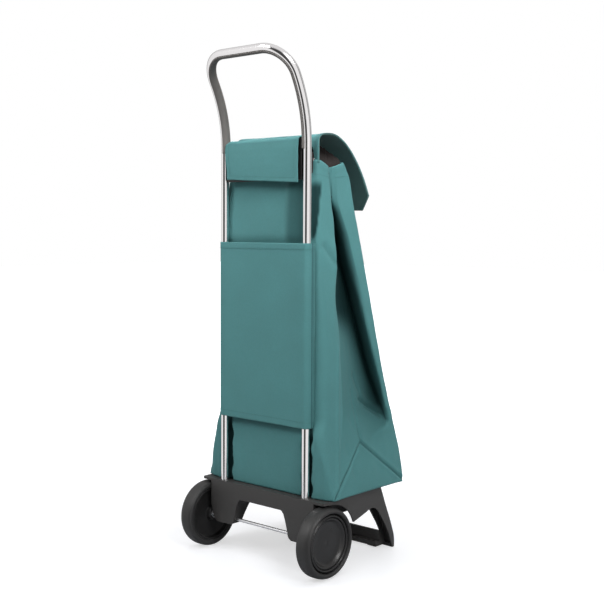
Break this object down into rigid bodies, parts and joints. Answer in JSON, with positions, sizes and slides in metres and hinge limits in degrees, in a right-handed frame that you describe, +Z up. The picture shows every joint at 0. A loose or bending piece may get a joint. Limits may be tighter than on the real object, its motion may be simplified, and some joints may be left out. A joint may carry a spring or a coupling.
{
  "type": "two-wheeled shopping trolley",
  "caption": "Shopping trolley with a bent aluminium tube handle, a tapered fabric bag with a lid flap, and a black moulded base on wheels.",
  "frame": {"origin": "on the ground, under the middle of the overall box", "axes": "+X to the right seen from the user, +Y away from the user towards the flap's front edge, +Z up"},
  "size_m": [0.352, 0.3234, 1.0041],
  "materials": {
    "base": "satin",
    "tyre": "matte",
    "rim": "satin",
    "grip": "matte",
    "bush": "satin",
    "crosspiece": "satin",
    "aluminium": "polished",
    "steel": "bright zinc",
    "fabric": "woven, coated",
    "lining": "matte",
    "board": "matte"
  },
  "bodies": {
    "chassis": {"base_moulding": "base", "handle_tube": "aluminium", "handle_grip": "grip", "upper_crosspiece": "crosspiece", "axle_rod": "steel", "tube_plug_left": "crosspiece", "base_screw_left": "steel", "crosspiece_screw_left": "steel", "axle_washer_left": "steel", "axle_push_nut_left": "steel", "tube_plug_right": "crosspiece", "base_screw_right": "steel", "crosspiece_screw_right": "steel", "axle_washer_right": "steel", "axle_push_nut_right": "steel", "bag_body": "fabric", "bag_board": "board", "bag_sleeve": "fabric", "crosspiece_cover": "fabric", "bag_screw_rear_left": "steel", "bag_screw_rear_right": "steel", "bag_screw_front_left": "steel", "bag_screw_front_right": "steel", "hanger_screw_left": "steel", "hanger_screw_middle": "steel", "hanger_screw_right": "steel"},
    "left_wheel": {"left_tyre": "tyre", "left_rim": "rim", "left_hub_cap": "rim", "left_bush": "bush"},
    "right_wheel": {"right_tyre": "tyre", "right_rim": "rim", "right_hub_cap": "rim", "right_bush": "bush"},
    "lid": {"flap": "fabric", "flap_lining": "lining"}
  },
  "joints": [
    {"name": "left_wheel_spin", "type": "hinge", "parent": "chassis", "child": "left_wheel", "pos_m": [-0.1595, -0.08782, 0.068], "axis": [1, 0, 0], "continuous": true},
    {"name": "right_wheel_spin", "type": "hinge", "parent": "chassis", "child": "right_wheel", "pos_m": [0.1595, -0.08782, 0.068], "axis": [1, 0, 0], "continuous": true},
    {"name": "flap_lift", "type": "hinge", "parent": "chassis", "child": "lid", "pos_m": [0, -0.07282, 0.841], "axis": [1, 0, 0], "range_deg": [-8, 95]}
  ]
}
